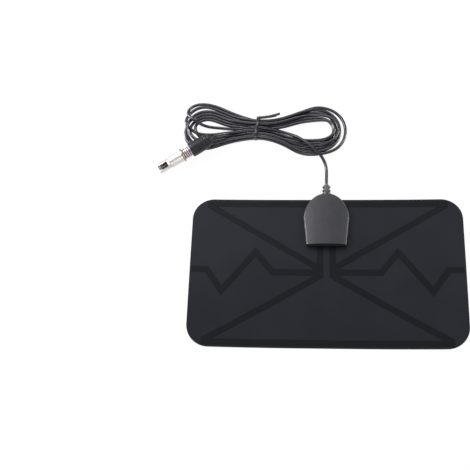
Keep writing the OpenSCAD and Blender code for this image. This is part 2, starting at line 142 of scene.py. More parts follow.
def make_camera():
    """A camera that stands where the photograph's camera stood."""
    data = bpy.data.cameras.new("camera")
    data.sensor_width = SENSOR
    data.lens = FOCAL_PX / FRAME_PX * SENSOR
    data.shift_x = SHIFT
    data.clip_start, data.clip_end = 0.01, 20
    cam = bpy.data.objects.new("camera", data)
    cam.location = Vector(CAMERA_AT) * MM
    cam.rotation_euler = [math.radians(a) for a in CAMERA_TURN]
    bpy.context.collection.objects.link(cam)
    bpy.context.scene.camera = cam


def plug_axis():
    """Unit vector from the plug's tip to its rear."""
    turn, rise = math.radians(PLUG_TURN), math.radians(PLUG_RISE)
    return np.array([math.cos(rise) * math.cos(turn), math.cos(rise) * math.sin(turn), math.sin(rise)])


def plug_point(along):
    """The point of the plug's axis that lies this far behind its tip."""
    return np.array(PLUG_TIP) + plug_axis() * along


# Route of the free lead, the same points as in the part's source, and where its climb begins
LEAD = [(0, 73.85, 3.75), (0, 76.85, 3.75), (0, 81, 2.8), (0.2, 86, 1.8), (0, 91, 2.4), (-1, 96, 4.6),
        (-3.4, 101, 6.8), (-6.6, 105.2, 7), (-11, 109.6, 7), (-16, 113.6, 7), (-22, 117.2, 7),
        (-28, 120, 7), (-34, 122.6, 7), (-40, 125.4, 7), (-45, 127.6, 7), (-49, 128.6, 7), (-53, 128.6, 7)]
LYING = 5
CLIMB = 14

# Where the lead climbs over the hank, seen from above, up to the tie and past it
OVER = [(-1, 96.5), (-3, 101), (-6, 105), (-11, 109.8), (-16.3, 114.1), (-24.4, 120.6), (-30.2, 124),
        (-37.1, 127.2), (-46.4, 130), (-56, 130.9)]
PAST_TIE = [(-64.5, 131.4), (-78, 132.2), (-90, 133.5), (-104, 134.2), (-116, 135.2), (-126, 139.6)]

# Where the last strand leaves the hank for the plug, and how far behind the boot it ends
TO_PLUG = [(-78, 127.4), (-88, 125.6)]
BEHIND_BOOT = (9, 3, -3)

# Places of the strands across each bundle, outermost first; the right loop's are measured from its middle
LEFT_UP = [158.4, 156.8, 151.4, 148.2, 145.0, 141.6]
LEFT_LOW = [111.3, 114.6, 118.2, 121.9, 126.2, 130.9]
WAIST_UP = [139.9, 138.6, 137.4, 136.1, 134.9, 133.7]
WAIST_LOW = [122.5, 123.7, 124.9, 126.1, 127.2, 128.3]
RIGHT_UP = [24.9, 22.2, 19.5, 16.8, 14.1, 11.5]
RIGHT_LOW = [23.2, 20.4, 17.6, 14.9, 12.2, 9.5]
RIGHT_END = [17.6, 12.2, 9.5, 10.9, 6.8, 8.2]
RIGHT_Y = 129.3
RIGHT_FROM = -30

# How a bundle spreads on the tie's left and right, by slope and curve, and how far the tie's pull goes
UPPER_SPREAD = ((0.28, 0.0035), (0, 0.0055))
LOWER_SPREAD = ((0, 0.0055), (0, 0.0105))
GATHERED = 46

# Which place each turn takes, where each turn bends round the left end, and where that bend begins
ORDER = [0, 2, 4, 1, 3, 5]
LEFT_END = [(-132.4, 146), (-131.5, 127), (-127, 137), (-132.3, 139.5), (-131.8, 126), (-126, 134)]
LOBE_X = -112
LOBE_Y = 131
HIP_X = -97
NECK_X = -84
FIRST_DIP = 6

# How far along and how far across a bend's shoulder lies
LEFT_SHOULDER = (0.72, 0.7)
RIGHT_SHOULDER = (0.3, 0.74)


def spline(points, parts=24):
    """Points a step apart along a smooth curve, where a climb counts for a third of its height."""
    p = np.array(points, float)
    p = np.vstack([2 * p[0] - p[1], p, 2 * p[-1] - p[-2]])
    out = []
    for a, b, c, d in zip(p[:-3], p[1:-2], p[2:-1], p[3:]):
        ka, kb, kc = (np.linalg.norm(v) ** 0.5 for v in (b - a, c - b, d - c))
        m1 = (c - b) + kb * ((b - a) / ka - (c - a) / (ka + kb))
        m2 = (c - b) + kb * ((d - c) / kc - (d - b) / (kb + kc))
        for t in np.linspace(0, 1, parts, endpoint=False):
            out.append(b * (2 * t**3 - 3 * t**2 + 1) + m1 * (t**3 - 2 * t**2 + t)
                       + c * (3 * t**2 - 2 * t**3) + m2 * (t**3 - t**2))
    out.append(p[-2])
    out = np.array(out)
    run = np.r_[0, np.cumsum(flat_lengths(out))]
    at = np.linspace(0, run[-1], int(round(run[-1] / STEP)) + 1)
    return np.column_stack([np.interp(at, run, out[:, i]) for i in range(3)])


def flat_lengths(p):
    """Length of each step, where a climb counts for a third of its height."""
    return np.linalg.norm(np.diff(p * [1, 1, 0.3], axis=0), axis=1)


def left_in(low, end, z):
    """One turn's way along its lower strand to the left end."""
    (lx, ly), (along, across) = end, LEFT_SHOULDER
    cx = LOBE_X + 3 if low > 120 else LOBE_X
    return [[HIP_X, low + 0.16 * (LOBE_Y - low), z], [cx, low, z],
            [cx + along * (lx - cx), ly - across * (ly - low), z]]


def left_out(up, end, z):
    """One turn's way from the left end to its upper strand."""
    (lx, ly), (along, across) = end, LEFT_SHOULDER
    cx = LOBE_X - 4 if up > 150 else LOBE_X
    return [[lx, ly, z], [cx + along * (lx - cx), ly + across * (up - ly), z], [cx, up, z],
            [cx + 13, up - 0.12 * (up - 138), z]]


def right_end(place, z):
    """One turn's way from the waist round the right loop and back to the waist."""
    up, low, rx = RIGHT_UP[place], RIGHT_LOW[place], RIGHT_END[place]
    wu, wl = WAIST_UP[place], WAIST_LOW[place]
    rise, fall = RIGHT_Y + up - wu, wl - RIGHT_Y + low
    along, across = RIGHT_SHOULDER
    return [[TIE_AT[0], wu, z], [-42, wu + (0.23 + 0.06 * place) * rise, z],
            [-24, wu + (0.69 + 0.04 * place) * rise, z], [-9, RIGHT_Y + up, z],
            [rx - along * up, RIGHT_Y + across * up, z], [rx, RIGHT_Y + 1, z],
            [rx - along * low, RIGHT_Y - across * low, z], [-12, RIGHT_Y - low, z],
            [-25, wl - 0.94 * fall, z], [-42, wl - 0.4 * fall, z], [TIE_AT[0], wl, z]]


def first_route():
    """The lead and the turns, stacked in layers so that no strand cuts another."""
    top = CABLE_R + LAYER * len(ORDER)
    pts = [list(q) for q in LEAD[:LYING]]
    low_y, low_z = LEAD[LYING - 1][1:]
    pts += [[x, y, low_z + (top - low_z) * min(1, (y - low_y) / CLIMB)] for x, y in OVER]
    pts += [[x, y, top] for x, y in PAST_TIE]
    for k, (place, end) in enumerate(zip(ORDER, LEFT_END)):
        z = CABLE_R + LAYER * k
        up = LEFT_UP[place]
        if k > 0:
            pts += left_in(LEFT_LOW[ORDER[k - 1]], end, z)
        bend = left_out(up, end, z)
        if k == 0:
            bend[0][2] = top - FIRST_DIP
        pts += bend
        pts += [[NECK_X, 0.5 * (up + WAIST_UP[place]) - (0.4 if place < 2 else 2.2), z]]
        pts += right_end(place, z)
    rear, axis = plug_point(BOOT_FACE + BOOT_L), plug_axis()
    pts += [[x, y, top] for x, y in TO_PLUG]
    pts += [list(rear + axis * s + [0, 0, BOOT_DROP]) for s in BEHIND_BOOT]
    return spline(pts)


def near_pairs(p, reach):
    """Pairs of points of different strands closer than reach."""
    d2 = ((p[:, None, :] - p[None, :, :]) ** 2).sum(2)
    return np.nonzero(np.triu(d2 < reach**2, ENDS))


def stiffen(p):
    """Evens out how the lead bends from one point to the next."""
    bend = p[:-4] - 4 * p[1:-3] + 6 * p[2:-2] - 4 * p[3:-1] + p[4:]
    p[2:-2] -= STIFFNESS * bend


def push_apart(p, pairs, crowd=0.6):
    """Moves points that are closer than a diameter away from each other."""
    i, j = pairs
    d = p[i] - p[j]
    dist = np.linalg.norm(d, axis=1)
    hit = dist < CABLE_D
    i, j, d, dist = i[hit], j[hit], d[hit], np.maximum(dist[hit], 1e-6)
    move = d / dist[:, None] * ((CABLE_D - dist) / 2)[:, None]
    total, count = np.zeros_like(p), np.zeros(len(p))
    np.add.at(total, i, move)
    np.add.at(total, j, -move)
    np.add.at(count, i, 1)
    np.add.at(count, j, 1)
    p += total / np.maximum(1, count * crowd)[:, None]


def keep_lengths(p, rest, share=0.25):
    """Brings each step back towards its own length."""
    seg = np.diff(p, axis=0)
    length = np.linalg.norm(seg, axis=1)
    fix = seg * ((length - rest) / length * share)[:, None]
    p[:-1] += fix
    p[1:] -= fix


def open_folds(p, span=4, wider=0.12, rounder=0.3):
    """Opens any bend that is tighter than the fold of a hank."""
    chord = 2 * FOLD_R * math.sin(span * STEP / FOLD_R)
    c = p[2 * span:] - p[:-2 * span]
    reach = np.linalg.norm(c, axis=1)
    short = np.maximum(0, chord - reach)
    move = c / reach[:, None] * (short * wider)[:, None]
    p[2 * span:] += move
    p[:-2 * span] -= move
    mid = p[span:-span]
    mid -= (mid - 0.5 * (p[2 * span:] + p[:-2 * span])) * (short / chord)[:, None] * rounder


def spread_at(dx, spread):
    """How much further a bundle reaches at a distance from the tie than at the tie."""
    left, right = (slope * np.abs(dx) + curve * dx**2 for slope, curve in spread)
    return np.where(dx < 0, left, right)


def gather(p, free, squeeze, high):
    """The tie's pull: an hourglass in plan, and a flat band over the strands at the tie itself."""
    dx = p[:, 0] - TIE_AT[0]
    far = np.abs(dx)
    over = WAIST_HALF + squeeze + spread_at(dx, UPPER_SPREAD)
    under = WAIST_HALF + squeeze + spread_at(dx, LOWER_SPREAD)
    wide = (far < GATHERED) & ~free
    p[wide, 1] = np.clip(p[wide, 1], (TIE_AT[1] - under)[wide], (TIE_AT[1] + over)[wide])
    near = far < PRESSED
    p[near, 2] = np.clip(p[near, 2], TIE_T + CABLE_R, high)


def clear_boot(p, lift):
    """Keeps the strands off the plug's tapered boot."""
    axis = plug_axis()
    from_face = p - plug_point(BOOT_FACE) - [0, 0, lift]
    along = from_face @ axis
    off = from_face - along[:, None] * axis
    room = BOOT_R + (BOOT_END_R - BOOT_R) * np.clip(along / BOOT_L, 0, 1) + CABLE_R
    dist = np.linalg.norm(off, axis=1)
    hit = (along > -2) & (along < BOOT_L - 0.5) & (dist < room)
    hit[-IN_BOOT:] = False
    p[hit] += (off / np.maximum(dist, 1e-6)[:, None] * (room - dist)[:, None])[hit]


def free_lead(p):
    """The points of the lead before it comes to the tie."""
    return np.arange(len(p)) < np.argmax(p[:, 0] < OVER[-1][0] - 2)


def settle(start):
    """Lets the stacked turns sink under their weight while the tie closes and the plug comes down."""
    p, target = start.copy(), start.copy()
    rest = flat_lengths(start)
    lead = free_lead(p)
    held = lead | (p[:, 0] > RIGHT_FROM)
    pull = np.where(lead, PULL_LEAD, np.where(held, PULL_RIGHT, PULL_TURNS))
    for n in range(SETTLE_ROUNDS):
        part = n / SETTLE_ROUNDS
        lift = BOOT_DROP * max(0, 1 - part / 0.55)
        squeeze = max(0, TIE_OPEN - 60 * part)
        high = max(WAIST_H - CABLE_R, TIE_OPEN_H * (1 - part * 1.8))
        if n % 6 == 0:
            pairs = near_pairs(p, NEAR)
        if part > 0.75 and n % 10 == 0:
            target[~held] = p[~held]
        p[:, 2] -= SINK * (1 - 0.6 * part)
        p[:, :2] += pull[:, None] * (target[:, :2] - p[:, :2])
        stiffen(p)
        for _ in range(4):
            keep_lengths(p, rest)
            open_folds(p)
            push_apart(p, pairs)
            gather(p, lead, squeeze, high)
            clear_boot(p, lift)
            p[:, 2] = np.maximum(p[:, 2], CABLE_R)
            p[:ENDS] = start[:ENDS]
            p[-ENDS:] = start[-ENDS:] - [0, 0, BOOT_DROP - lift]
    return p


def iron(p):
    """Takes the kinks out of the settled lead, as a cord's own stiffness does."""
    free, first, last = free_lead(p), p[:ENDS].copy(), p[-ENDS:].copy()
    for n in range(IRON_ROUNDS):
        if n % 6 == 0:
            pairs = near_pairs(p, NEAR)
        for _ in range(5):
            stiffen(p)
        open_folds(p)
        push_apart(p, pairs)
        gather(p, free, 0, WAIST_H - CABLE_R)
        clear_boot(p, 0)
        p[:, 2] = np.maximum(p[:, 2], CABLE_R)
        p[:ENDS], p[-ENDS:] = first, last


def make_cord():
    """The lead from the strain relief through the hank to the plug, and its length."""
    p = settle(first_route())
    iron(p)
    length = float(np.linalg.norm(np.diff(p, axis=0), axis=1).sum())
    curve = bpy.data.curves.new("coax_lead", "CURVE")
    curve.dimensions = "3D"
    line = curve.splines.new("NURBS")
    line.points.add(len(p) - 1)
    for q, a in zip(line.points, p * MM):
        q.co = (*a, 1)
    line.order_u = 4
    line.use_endpoint_u = True
    line.resolution_u = 2
    curve.bevel_depth = CABLE_R * MM
    curve.bevel_resolution = 3
    curve.use_fill_caps = True
    cord = bpy.data.objects.new("coax_lead", curve)
    bpy.context.collection.objects.link(cord)
    return cord, length * MM


def pick(obj):
    """Selects one object alone and makes it active."""
    bpy.ops.object.select_all(action="DESELECT")
    obj.select_set(True)
    bpy.context.view_layer.objects.active = obj


def apply_modifier(obj, kind, **values):
    pick(obj)
    mod = obj.modifiers.new(kind.lower(), kind)
    for key, value in values.items():
        setattr(mod, key, value)
    bpy.ops.object.modifier_apply(modifier=mod.name)


def moulding(name, node, edge=0.0, corner=35, steps=3, whole_faces=True, change=None):
    """A finished copy of a CAD piece: one closed skin with softened edges."""
    obj = bpy.data.objects.new(name, NODES[node].data.copy())
    bpy.context.collection.objects.link(obj)
    obj.data.materials.clear()
    bm = bmesh.new()
    bm.from_mesh(obj.data)
    bmesh.ops.remove_doubles(bm, verts=bm.verts, dist=2e-6)
    if whole_faces:
        bmesh.ops.dissolve_limit(bm, angle_limit=math.radians(0.5), verts=bm.verts, edges=bm.edges)
    bm.to_mesh(obj.data)
    bm.free()
    if change:
        for v in obj.data.vertices:
            v.co = Vector(change(*(v.co / MM))) * MM
    if edge:
        apply_modifier(obj, "BEVEL", width=edge * MM, segments=steps, limit_method="ANGLE",
                       angle_limit=math.radians(corner), use_clamp_overlap=True)
    pick(obj)
    bpy.ops.object.shade_smooth_by_angle(angle=math.radians(32))
    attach(obj, "root")
    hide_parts(node)
    return obj


def cut_across(obj, axis, places):
    """Cuts a mesh by planes square to an axis, so that it can bend there."""
    bm = bmesh.new()
    bm.from_mesh(obj.data)
    bmesh.ops.triangulate(bm, faces=[f for f in bm.faces if len(f.verts) > 4])
    normal = Vector([1 if i == axis else 0 for i in range(3)])
    for place in places:
        bmesh.ops.bisect_plane(bm, geom=bm.verts[:] + bm.edges[:] + bm.faces[:], dist=1e-7,
                               plane_co=normal * place * MM, plane_no=normal)
    bm.to_mesh(obj.data)
    bm.free()


def smoothstep(t):
    """A soft step from 0 to 1."""
    t = min(1.0, max(0.0, t))
    return t * t * (3 - 2 * t)


def curl_at(x, y):
    """How far the film rises at its ends and sags in front of the pod."""
    up = smoothstep((y - FILM_LOW_Y) / (FILM_TOP_Y - FILM_LOW_Y))
    flat, foot = POD_HALF + FLAT_SIDE, POD_FOOT_Y - FLAT_FOOT
    out = max(0.0, (abs(x) - flat) / (FILM_HALF - flat))
    sag = smoothstep((foot - y) / (foot - FILM_LOW_Y))
    return (CURL_LOW + (CURL_TOP - CURL_LOW) * up) * out**2 - SAG * sag


def film_layer(name, node):
    """A sheet of the film, with the lie of a sheet that was kept rolled up."""
    obj = moulding(name, node, whole_faces=False)
    mask = obj.data.attributes.new("trace", "FLOAT", "POINT")
    for v, m in zip(obj.data.vertices, mask.data):
        m.value = 1.0 if v.co.z > RIDGE_Z * MM else 0.0
    cut_across(obj, 0, range(-114, 115, 6))
    cut_across(obj, 1, range(-68, 60, 8))
    for v in obj.data.vertices:
        v.co.z += curl_at(v.co.x / MM, v.co.y / MM) * MM
        v.co.y -= STRETCH * smoothstep((POD_FOOT_Y - v.co.y / MM) / (POD_FOOT_Y - FILM_LOW_Y)) * MM
    pick(obj)
    bpy.ops.object.shade_smooth_by_angle(angle=math.radians(5))
    return obj


def round_plug(obj, change):
    """Moves each point of a plug piece, given as its depth behind the tip, angle and radius."""
    axis, tip = Vector(plug_axis()), Vector(PLUG_TIP) * MM
    up = (Vector((0, 0, 1)) - axis * axis.z).normalized()
    side = axis.cross(up)
    for v in obj.data.vertices:
        q = v.co - tip
        along, a, r = q.dot(axis), math.atan2(q.dot(side), q.dot(up)), math.hypot(q.dot(side), q.dot(up))
        along, a, r = change(along / MM, a, r / MM)
        v.co = tip + (axis * along + (up * math.cos(a) + side * math.sin(a)) * r) * MM


def wider_slot(along, a, r):
    """The shell's slot as the photograph shows it, a little wider and longer, turned to the camera."""
    old, new, turn = (math.radians(v) for v in (SLOT_HALF, SLOT_HALF_SEEN, SLOT_TURN))
    size = abs(a)
    if size < old * 1.1 and abs(along - SLOT_L) < 0.2:
        along += SLOT_LONGER
    size = size * new / old if size < old else new + (size - old) * (math.pi - new) / (math.pi - old)
    return along, math.copysign(size, a) + turn, r


def fuller_boot(along, a, r):
    """The boot's fuller grip, back to its own size where the lead leaves it."""
    back = along - BOOT_FACE
    if r < BOOT_BORE_R:
        return along, a, r
    return along, a, r + GRIP_MORE * smoothstep(back / 12) * smoothstep((BOOT_L - back) / 2)


def thin_chamfer(x, y, z):
    """The cover's chamfer drawn in to the narrow line that the photograph shows."""
    if z > POD_TOP_Z - 0.1:
        return x * TOP_WIDER, y + TOP_LONGER * max(0.0, y - POD_WIDEST_Y), z
    if abs(z - (POD_TOP_Z - POD_CHAMFER)) < 0.1:
        return x, y, z + CHAMFER_LESS
    return x, y, z


def pod_top():
    """The cover, with a shallow crown across its top."""
    obj = moulding("pod_shell", "pod_cover", edge=0.22, corner=20, steps=2, change=thin_chamfer)
    cut_across(obj, 0, range(-16, 17, 2))
    for v in obj.data.vertices:
        if v.co.z > (POD_TOP_Z - POD_CHAMFER + 0.1) * MM:
            v.co.z += CROWN * (1 - 2 * (v.co.x / MM / POD_HALF)**2) * MM
    pick(obj)
    bpy.ops.object.shade_smooth_by_angle(angle=math.radians(32))
    apply_modifier(obj, "WEIGHTED_NORMAL", keep_sharp=True)
    return obj


def in_edit(obj, mode="VERT"):
    """Opens a mesh for editing with nothing selected."""
    if obj.mode != "EDIT":
        pick(obj)
        bpy.ops.object.mode_set(mode="EDIT")
    bpy.ops.mesh.select_mode(type=mode)
    bpy.ops.mesh.select_all(action="DESELECT")
    return bmesh.from_edit_mesh(obj.data)


def tie_hoop():
    """The strip round the strands: a hoop with rounded corners, pulled askew."""
    bpy.ops.object.select_all(action="DESELECT")
    wide, high = HOOP_HALF * 2, WAIST_H
    middle = (TIE_AT[0] * MM, TIE_AT[1] * MM, (TIE_T + high) / 2 * MM)
    bpy.ops.mesh.primitive_cube_add(size=1, location=middle)
    obj = bpy.context.object
    obj.name = "tie_strip"
    obj.scale = (TIE_W * MM, wide * MM, high * MM)
    bpy.ops.object.transform_apply(location=True, rotation=True, scale=True)
    bm = in_edit(obj, "FACE")
    for f in bm.faces:
        f.select = abs(f.normal.x) > 0.9
    bmesh.update_edit_mesh(obj.data)
    bpy.ops.mesh.delete(type="ONLY_FACE")
    bm = in_edit(obj, "EDGE")
    for e in bm.edges:
        a, b = (v.co for v in e.verts)
        e.select = abs(a.x - b.x) > 1e-4
    bmesh.update_edit_mesh(obj.data)
    bpy.ops.mesh.bevel(offset=HOOP_CORNER * MM, segments=8, affect="EDGES")
    bpy.ops.object.mode_set(mode="OBJECT")
    cut_across(obj, 1, [TIE_AT[1] + k * 2.2 for k in range(-4, 5)])
    for v in obj.data.vertices:
        side = (v.co.y / MM - TIE_AT[1]) / HOOP_HALF
        v.co.x += (TIE_SLANT * side + RIPPLE * math.sin(5 * side)) * MM
        if v.co.z > 0.5 * high * MM:
            v.co.z += RIPPLE * math.sin(9 * side + 1) * MM
    apply_modifier(obj, "SOLIDIFY", thickness=HOOP_T * MM, offset=0)
    apply_modifier(obj, "BEVEL", width=0.15 * MM, segments=2, limit_method="ANGLE")
    return obj


def tie_tail():
    """The strip's two ends, wound round each other and bent away."""
    strips = []
    for k, length in enumerate(TAIL_LENGTHS):
        bpy.ops.object.select_all(action="DESELECT")
        middle = (length / 2 * MM, 0, 0.55 * TAIL_T * (2 * k - 1) * MM)
        bpy.ops.mesh.primitive_cube_add(size=1, location=middle)
        strip = bpy.context.object
        strip.scale = (length * MM, TAIL_W * MM, TAIL_T * MM)
        bpy.ops.object.transform_apply(location=True, rotation=True, scale=True)
        cut_across(strip, 0, [0.5 * i for i in range(1, int(2 * length))])
        strips.append(strip)
    pick(strips[0])
    strips[1].select_set(True)
    bpy.ops.object.join()
    obj = bpy.context.object
    obj.name = "tie_ends"
    dx, dy, z = TAIL_FROM
    start = Vector((TIE_AT[0] + dx, TIE_AT[1] + HOOP_HALF + dy, z))
    for v in obj.data.vertices:
        x, y, z = v.co / MM
        a = 2 * math.pi * TAIL_TURNS * min(x, TAIL_WOUND) / TAIL_WOUND
        y, z = y * math.cos(a) - z * math.sin(a), y * math.sin(a) + z * math.cos(a)
        heading = math.radians(1 + 0.5 * x)
        c, s = math.cos(heading), math.sin(heading)
        q = Vector((x * c - y * s, x * s + y * c, z - TAIL_DROP * max(0.0, x - TAIL_WOUND)))
        v.co = (start + q) * MM
    apply_modifier(obj, "BEVEL", width=0.12 * MM, segments=2, limit_method="ANGLE")
    return obj


def twist_tie():
    """The hoop and its wound ends, as one piece."""
    hoop, tail = tie_hoop(), tie_tail()
    pick(hoop)
    tail.select_set(True)
    bpy.ops.object.join()
    obj = bpy.context.object
    obj.name = "twist_tie_strip"
    bpy.ops.object.shade_smooth_by_angle(angle=math.radians(40))
    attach(obj, "root")
    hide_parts("twist_tie")
    return obj


def grain_group():
    """Fine moulded grain: a mottle, a value for roughness and a bumped normal."""
    g = bpy.data.node_groups.new("fine_grain", "ShaderNodeTree")
    for label, value in (("Grain size", 0.4), ("Mottle size", 12.0), ("Depth", 0.2), ("Rough", 0.5),
                         ("Rough spread", 0.08)):
        s = g.interface.new_socket(label, in_out="INPUT", socket_type="NodeSocketFloat")
        s.default_value = value
    g.interface.new_socket("Mottle", in_out="OUTPUT", socket_type="NodeSocketFloat")
    g.interface.new_socket("Roughness", in_out="OUTPUT", socket_type="NodeSocketFloat")
    g.interface.new_socket("Normal", in_out="OUTPUT", socket_type="NodeSocketVector")
    n, link = g.nodes, g.links.new
    inp, out = n.new("NodeGroupInput"), n.new("NodeGroupOutput")
    coord = n.new("ShaderNodeTexCoord")

    def noise(size_socket, detail):
        scale = n.new("ShaderNodeMath")
        scale.operation = "DIVIDE"
        scale.inputs[0].default_value = 1 / MM
        link(inp.outputs[size_socket], scale.inputs[1])
        tex = n.new("ShaderNodeTexNoise")
        tex.inputs["Detail"].default_value = detail
        link(coord.outputs["Object"], tex.inputs["Vector"])
        link(scale.outputs[0], tex.inputs["Scale"])
        return tex.outputs["Fac"]

    fine, broad = noise("Grain size", 2), noise("Mottle size", 3)
    bump = n.new("ShaderNodeBump")
    bump.inputs["Distance"].default_value = 0.1 * MM
    link(inp.outputs["Depth"], bump.inputs["Strength"])
    link(fine, bump.inputs["Height"])
    link(bump.outputs["Normal"], out.inputs["Normal"])
    link(broad, out.inputs["Mottle"])
    centre = n.new("ShaderNodeMath")
    centre.operation = "SUBTRACT"
    link(broad, centre.inputs[0])
    centre.inputs[1].default_value = 0.5
    spread = n.new("ShaderNodeMath")
    spread.operation = "MULTIPLY_ADD"
    link(centre.outputs[0], spread.inputs[0])
    link(inp.outputs["Rough spread"], spread.inputs[1])
    link(inp.outputs["Rough"], spread.inputs[2])
    link(spread.outputs[0], out.inputs["Roughness"])
    return g


def finish(name, low, high, rough, grain=0.4, depth=0.2, mottle=12.0, spread=0.08, metal=0.0, level=0.5):
    """A material between two close colours, with grain; returns it with its nodes."""
    m = bpy.data.materials.new(name)
    m.use_nodes = True
    nt = m.node_tree
    b = nt.nodes["Principled BSDF"]
    b.inputs["Metallic"].default_value = metal
    b.inputs["Specular IOR Level"].default_value = level
    g = nt.nodes.new("ShaderNodeGroup")
    g.node_tree = bpy.data.node_groups["fine_grain"]
    for label, value in (("Grain size", grain), ("Mottle size", mottle), ("Depth", depth), ("Rough", rough),
                         ("Rough spread", spread)):
        g.inputs[label].default_value = value
    mix = nt.nodes.new("ShaderNodeMix")
    mix.data_type = "RGBA"
    mix.inputs["A"].default_value = (*low, 1)
    mix.inputs["B"].default_value = (*high, 1)
    nt.links.new(g.outputs["Mottle"], mix.inputs["Factor"])
    nt.links.new(mix.outputs["Result"], b.inputs["Base Color"])
    nt.links.new(g.outputs["Roughness"], b.inputs["Roughness"])
    nt.links.new(g.outputs["Normal"], b.inputs["Normal"])
    return m


def printed_film():
    """Black film that shows the foil beneath it as darker strips that reflect a little less."""
    m = finish("printed_film", (0.0062, 0.0064, 0.0094), (0.0086, 0.0088, 0.0124), 0.41, grain=0.5,
               depth=0.06, mottle=40, spread=0.1)
    nt = m.node_tree
    b = nt.nodes["Principled BSDF"]
    b.inputs["Specular Tint"].default_value = (0.9, 0.92, 1, 1)
    plain = b.inputs["Base Color"].links[0].from_socket
    trace = nt.nodes.new("ShaderNodeAttribute")
    trace.attribute_name = "trace"
    mix = nt.nodes.new("ShaderNodeMix")
    mix.data_type = "RGBA"
    nt.links.new(trace.outputs["Fac"], mix.inputs["Factor"])
    nt.links.new(plain, mix.inputs["A"])
    mix.inputs["B"].default_value = (0.0032, 0.0039, 0.0052, 1)
    nt.links.new(mix.outputs["Result"], b.inputs["Base Color"])
    sheen = nt.nodes.new("ShaderNodeMapRange")
    sheen.inputs["To Min"].default_value = 0.205
    sheen.inputs["To Max"].default_value = 0.155
    nt.links.new(trace.outputs["Fac"], sheen.inputs["Value"])
    nt.links.new(sheen.outputs["Result"], b.inputs["Specular IOR Level"])
    return m


def plate(name, low, high, rough, tone_and_shade_bands):
    """Plated metal with the rings that turning leaves, and bands of another tone by radius, such as painted
    shade in a bore or groove.
    """
    m = finish(name, low, high, rough, grain=0.25, depth=0.02, mottle=3, spread=0.1, metal=1.0)
    nt = m.node_tree
    b = nt.nodes["Principled BSDF"]
    coord = nt.nodes.new("ShaderNodeTexCoord")
    turn = nt.nodes.new("ShaderNodeMapping")
    turn.vector_type = "TEXTURE"
    turn.inputs["Location"].default_value = [v * MM for v in PLUG_TIP]
    turn.inputs["Rotation"].default_value = (0, math.radians(-PLUG_RISE), math.radians(PLUG_TURN))
    rings = nt.nodes.new("ShaderNodeTexNoise")
    rings.noise_dimensions = "1D"
    rings.inputs["Scale"].default_value = 2.2 / MM
    rings.inputs["Detail"].default_value = 3
    split = nt.nodes.new("ShaderNodeSeparateXYZ")
    bump = nt.nodes.new("ShaderNodeBump")
    bump.inputs["Strength"].default_value = 0.12
    bump.inputs["Distance"].default_value = 0.05 * MM
    nt.links.new(coord.outputs["Object"], turn.inputs["Vector"])
    nt.links.new(turn.outputs["Vector"], split.inputs["Vector"])
    nt.links.new(split.outputs["X"], rings.inputs["W"])
    nt.links.new(rings.outputs["Fac"], bump.inputs["Height"])
    nt.links.new(b.inputs["Normal"].links[0].from_socket, bump.inputs["Normal"])
    nt.links.new(bump.outputs["Normal"], b.inputs["Normal"])
    across = nt.nodes.new("ShaderNodeCombineXYZ")
    nt.links.new(split.outputs["Y"], across.inputs["Y"])
    nt.links.new(split.outputs["Z"], across.inputs["Z"])
    radius = nt.nodes.new("ShaderNodeVectorMath")
    radius.operation = "LENGTH"
    nt.links.new(across.outputs["Vector"], radius.inputs[0])
    for r_from, r_to, tone in tone_and_shade_bands:
        band = nt.nodes.new("ShaderNodeMapRange")
        band.inputs["From Min"].default_value = r_from * MM
        band.inputs["From Max"].default_value = r_to * MM
        nt.links.new(radius.outputs["Value"], band.inputs["Value"])
        mix = nt.nodes.new("ShaderNodeMix")
        mix.data_type = "RGBA"
        mix.inputs["B"].default_value = (*tone, 1)
        nt.links.new(band.outputs["Result"], mix.inputs["Factor"])
        nt.links.new(b.inputs["Base Color"].links[0].from_socket, mix.inputs["A"])
        nt.links.new(mix.outputs["Result"], b.inputs["Base Color"])
    return m


def wear(obj, material):
    """Gives a piece its one material and the slot of that material."""
    obj.data.materials.clear()
    obj.data.materials.append(material)


def stage():
    """Pale floor that reads white to the eye and keeps the object's shadow, with soft studio light."""
    bpy.ops.object.select_all(action="DESELECT")
    bpy.ops.mesh.primitive_plane_add(size=6)
    floor = bpy.context.object
    floor.name = "floor"
    m = bpy.data.materials.new("floor")
    m.use_nodes = True
    nt = m.node_tree
    b, out = nt.nodes["Principled BSDF"], nt.nodes["Material Output"]
    b.inputs["Base Color"].default_value = (0.88, 0.88, 0.88, 1)
    b.inputs["Roughness"].default_value = 0.8
    white = nt.nodes.new("ShaderNodeEmission")
    path = nt.nodes.new("ShaderNodeLightPath")
    seen = nt.nodes.new("ShaderNodeMath")
    seen.operation = "ADD"
    seen.use_clamp = True
    more = nt.nodes.new("ShaderNodeMath")
    more.operation = "ADD"
    share = nt.nodes.new("ShaderNodeMath")
    share.operation = "MULTIPLY"
    share.inputs[1].default_value = FLOOR_GLOW
    mix = nt.nodes.new("ShaderNodeMixShader")
    nt.links.new(path.outputs["Is Camera Ray"], more.inputs[0])
    nt.links.new(path.outputs["Is Glossy Ray"], more.inputs[1])
    nt.links.new(more.outputs[0], seen.inputs[0])
    nt.links.new(path.outputs["Is Transmission Ray"], seen.inputs[1])
    nt.links.new(seen.outputs[0], share.inputs[0])
    nt.links.new(share.outputs[0], mix.inputs["Fac"])
    nt.links.new(b.outputs["BSDF"], mix.inputs[1])
    nt.links.new(white.outputs["Emission"], mix.inputs[2])
    nt.links.new(mix.outputs["Shader"], out.inputs["Surface"])
    floor.data.materials.append(m)
    world = bpy.data.worlds.new("world")
    bpy.context.scene.world = world
    world.use_nodes = True
    bg = world.node_tree.nodes["Background"]
    bg.inputs["Color"].default_value = (1, 1, 1, 1)
    bg.inputs["Strength"].default_value = 0.3
    for name, at, watts, size in LAMPS:
        lamp(name, at, watts, size)


